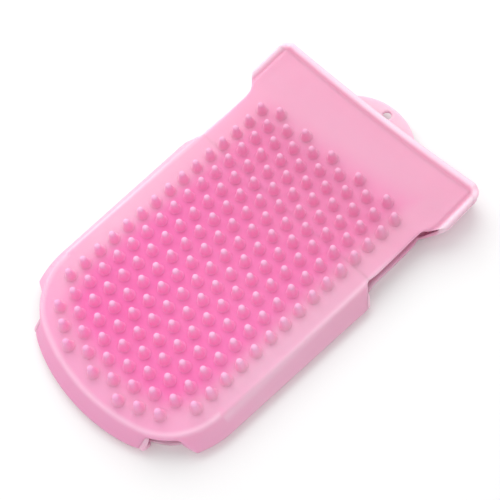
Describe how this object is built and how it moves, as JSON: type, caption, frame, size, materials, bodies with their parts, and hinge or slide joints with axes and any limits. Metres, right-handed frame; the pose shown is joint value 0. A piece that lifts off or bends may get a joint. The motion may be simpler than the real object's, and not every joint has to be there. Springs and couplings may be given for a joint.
{
  "type": "grooming glove",
  "caption": "Flat silicone mitt with staggered massage nubs on one face, open cuff, side thumb openings, fingertip drain slots and a hanging tab.",
  "frame": {"origin": "middle of the footprint, on the surface that the mitt lies on with its nubs up", "axes": "+Z out of the nub face, +Y from the fingertips to the mouth, +X to the right seen from above"},
  "size_m": [0.132, 0.213, 0.0201],
  "materials": {
    "face_silicone": "satin translucent",
    "back_silicone": "satin translucent",
    "nub_silicone": "satin translucent",
    "edge_silicone": "satin translucent"
  },
  "bodies": {
    "palm_section": {"palm_back_panel": "back_silicone", "palm_back_wall_left": "back_silicone", "palm_back_wall_right": "back_silicone", "palm_face_panel": "face_silicone", "palm_front_wall_left": "face_silicone", "palm_front_wall_right": "face_silicone", "palm_nubs": "nub_silicone", "thumb_jamb_bead_left": "edge_silicone", "thumb_jamb_bead_right": "edge_silicone"},
    "finger_section": {"drain_post_left": "edge_silicone", "drain_post_right": "edge_silicone", "finger_back_panel": "back_silicone", "finger_back_wall_left": "back_silicone", "finger_back_wall_right": "back_silicone", "finger_face_panel": "face_silicone", "finger_front_wall_left": "face_silicone", "finger_front_wall_right": "face_silicone", "finger_nubs": "nub_silicone", "fingertip_back_wall": "back_silicone", "fingertip_front_wall": "face_silicone"},
    "cuff_section": {"cuff_back_panel": "back_silicone", "cuff_face_panel": "face_silicone", "cuff_nubs": "nub_silicone", "cuff_side_ridge_left": "edge_silicone", "cuff_side_ridge_right": "edge_silicone", "cuff_side_wall_left": "face_silicone", "cuff_side_wall_right": "face_silicone", "mouth_back_lip": "edge_silicone", "mouth_front_lip": "edge_silicone"},
    "tab": {"hang_tab": "edge_silicone"}
  },
  "joints": [
    {"name": "knuckle_flex", "type": "hinge", "parent": "palm_section", "child": "finger_section", "pos_m": [0, -0.03055, 0.012], "axis": [-1, 0, 0], "range_deg": [-10, 45], "stiffness_Nm_per_rad": 0.6},
    {"name": "neck_flex", "type": "hinge", "parent": "palm_section", "child": "cuff_section", "pos_m": [0, 0.04595, 0.012], "axis": [1, 0, 0], "range_deg": [-15, 45], "stiffness_Nm_per_rad": 0.6},
    {"name": "tab_flex", "type": "hinge", "parent": "cuff_section", "child": "tab", "pos_m": [0, 0.09744, 0.00457], "axis": [1, 0, 0], "range_deg": [-75, 75], "stiffness_Nm_per_rad": 0.004}
  ]
}
